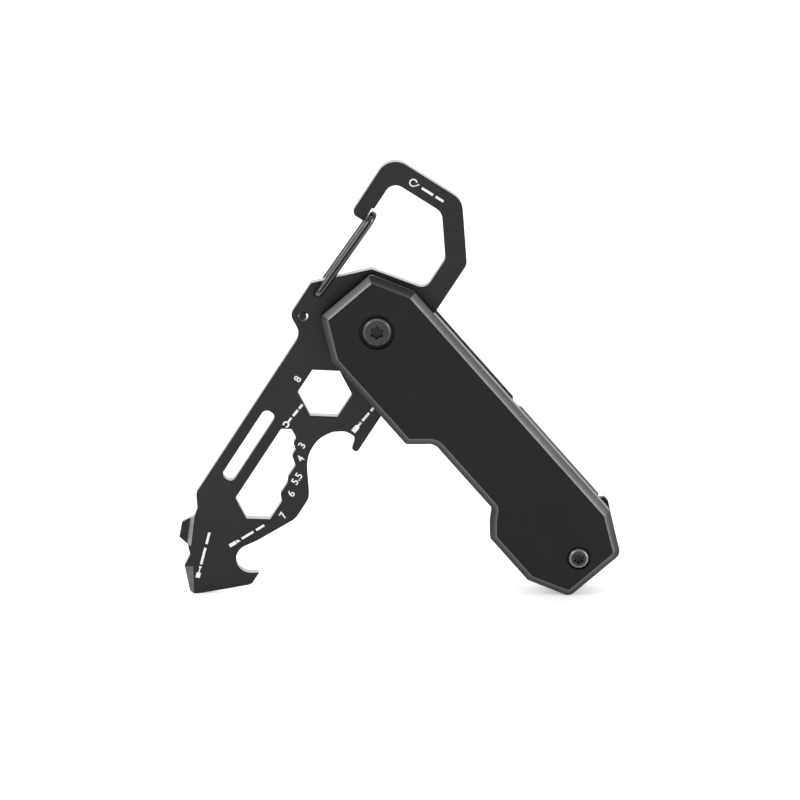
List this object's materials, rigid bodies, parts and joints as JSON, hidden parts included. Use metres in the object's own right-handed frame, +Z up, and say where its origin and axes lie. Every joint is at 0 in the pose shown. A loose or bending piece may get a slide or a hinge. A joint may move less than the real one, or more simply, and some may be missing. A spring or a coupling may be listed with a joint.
{
  "type": "folding pocket multi tool",
  "caption": "Folding pocket multi tool: black steel tool plate with carabiner loop, wrench holes, bottle opener and box cutter, and a knife blade in an octagonal handle.",
  "frame": {"origin": "bottom centre of the box around the tool in its standing pose", "axes": "+X right, +Z up, -Y out of the front scale; the shortest extent is along Y"},
  "size_m": [0.075, 0.0104, 0.0753],
  "materials": {
    "scale": "matte black coating",
    "liner": "matte black coating",
    "plate": "satin black oxide on steel",
    "screw": "satin black",
    "hardware": "turned steel",
    "washer": "phosphor bronze",
    "wire": "dark gunmetal spring wire",
    "blade": "ground steel"
  },
  "bodies": {
    "handle": {"front_scale": "scale", "back_scale": "scale", "centre_liner": "liner", "pivot_barrel": "hardware", "pivot_screw_front": "screw", "pivot_screw_back": "screw", "rear_standoff": "hardware", "rear_screw_front": "screw", "rear_screw_back": "screw", "plate_washer_front": "washer", "plate_washer_back": "washer", "blade_washer_front": "washer", "blade_washer_back": "washer", "blade_stop_pin": "hardware", "plate_detent_ball": "hardware", "blade_detent_ball": "hardware"},
    "plate": {"tool_plate": "plate", "gate_spring_tail": "wire"},
    "gate": {"gate_wire": "wire"},
    "blade": {"knife_blade": "blade"}
  },
  "joints": [
    {"name": "plate_pivot", "type": "hinge", "parent": "handle", "child": "plate", "pos_m": [-0.00382, -0.00085, 0.04657], "axis": [0, -1, 0], "range_deg": [-90, 67]},
    {"name": "blade_pivot", "type": "hinge", "parent": "handle", "child": "blade", "pos_m": [-0.00382, 0.00239, 0.04657], "axis": [0, -1, 0], "range_deg": [0, 180]},
    {"name": "gate_hinge", "type": "hinge", "parent": "plate", "child": "gate", "pos_m": [-0.01373, -0.00085, 0.0526], "axis": [0, 1, 0], "range_deg": [0, 18], "stiffness_Nm_per_rad": 0.05, "springref_deg": -5.73, "deforming": ["gate_spring_tail"]}
  ]
}
